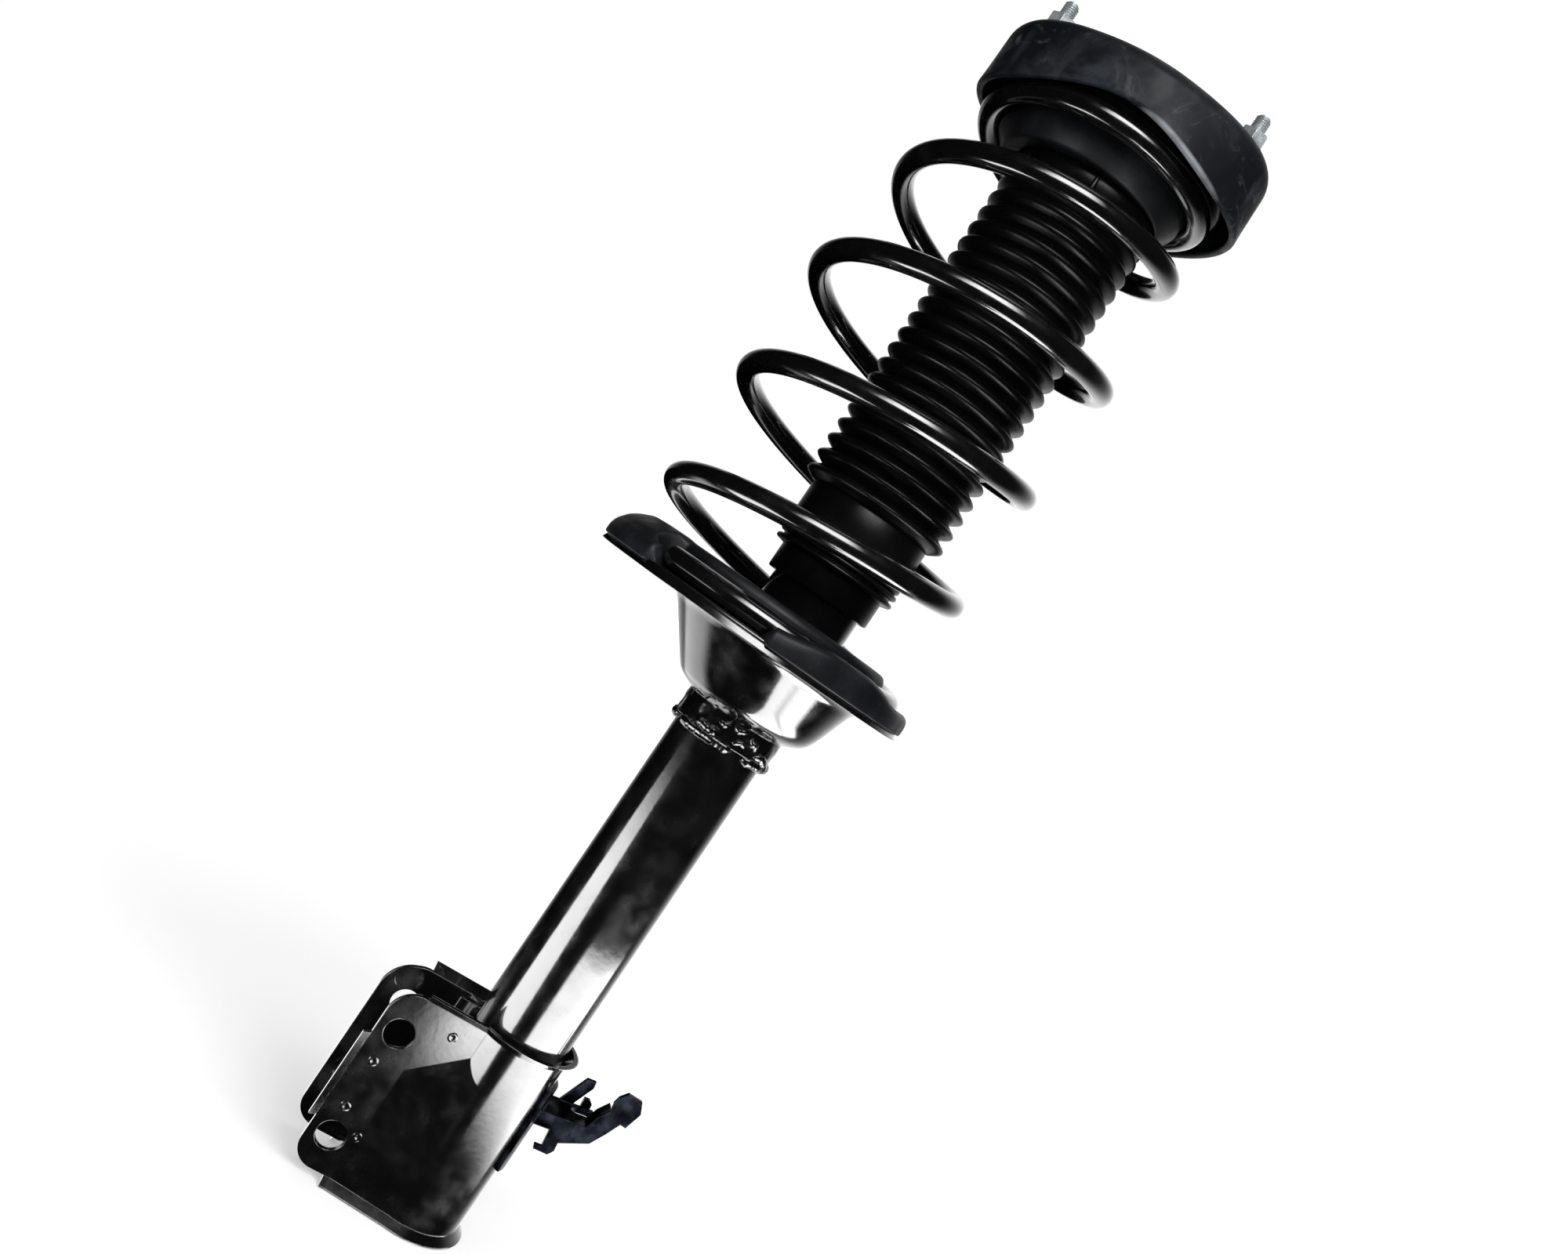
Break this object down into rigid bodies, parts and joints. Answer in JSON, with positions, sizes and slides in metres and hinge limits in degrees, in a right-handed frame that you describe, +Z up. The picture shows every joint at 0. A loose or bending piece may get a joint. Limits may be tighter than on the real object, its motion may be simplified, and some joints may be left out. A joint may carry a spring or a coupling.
{
  "type": "strut assembly",
  "caption": "Coil-over suspension strut with a three-stud top mount, offset coil spring, ribbed dust boot, telescopic damper and two-bolt knuckle bracket.",
  "frame": {"origin": "on the rod axis, in the plane where the top mount seats against the car body", "axes": "+Z up along the rod axis, -X towards the wheel knuckle, +Y completes a right-handed frame"},
  "size_m": [0.1825, 0.182, 0.6906],
  "materials": {
    "mount_black": "satin black electro-coat",
    "gloss_black": "deep gloss black enamel",
    "spring_black": "gloss black epoxy powder coat on spring steel",
    "cap_black": "satin black pressed cap",
    "zinc_hardware": "bright zinc plate",
    "plain_steel": "bare machined steel",
    "hard_chrome": "polished hard chrome",
    "sintered_iron": "sintered iron",
    "bush_bronze": "bronze-backed bearing",
    "mount_rubber": "moulded natural rubber",
    "pad_rubber": "moulded rubber, slightly bloomed",
    "boot_rubber": "matte moulded thermoplastic rubber",
    "bump_foam": "microcellular polyurethane foam",
    "seal_rubber": "nitrile seal",
    "seal_plastic": "filled fluoropolymer band"
  },
  "bodies": {
    "mount": {"mount_housing": "mount_black", "tower_studs": "zinc_hardware", "stud_nuts": "zinc_hardware", "mount_rubber": "mount_rubber", "mount_core": "plain_steel", "rod_washer": "plain_steel", "rod_nut": "zinc_hardware", "upper_spring_seat": "gloss_black", "upper_isolator": "pad_rubber", "bump_stop_cup": "plain_steel", "bump_stop": "bump_foam", "piston_rod": "hard_chrome", "rebound_stop": "plain_steel", "piston": "sintered_iron", "piston_band": "seal_plastic", "piston_valve_discs": "plain_steel", "piston_nut": "plain_steel", "dust_boot": "boot_rubber", "coil_spring": "spring_black"},
    "strut": {"strut_tube": "gloss_black", "tube_base": "gloss_black", "pressure_tube": "plain_steel", "base_valve": "sintered_iron", "rod_guide": "sintered_iron", "guide_bush": "bush_bronze", "rod_seal": "seal_rubber", "tube_cap": "cap_black", "lower_spring_seat": "gloss_black", "seat_welds": "gloss_black", "lower_isolator": "pad_rubber", "knuckle_bracket": "gloss_black", "bracket_inner_plate": "gloss_black", "hose_bracket": "mount_black"}
  },
  "joints": [
    {"name": "damper_slide", "type": "slide", "parent": "mount", "child": "strut", "axis": [0, 0, 1], "range_m": [0, 0.15], "stiffness_N_per_m": 25000, "deforming": ["coil_spring", "dust_boot"]}
  ]
}
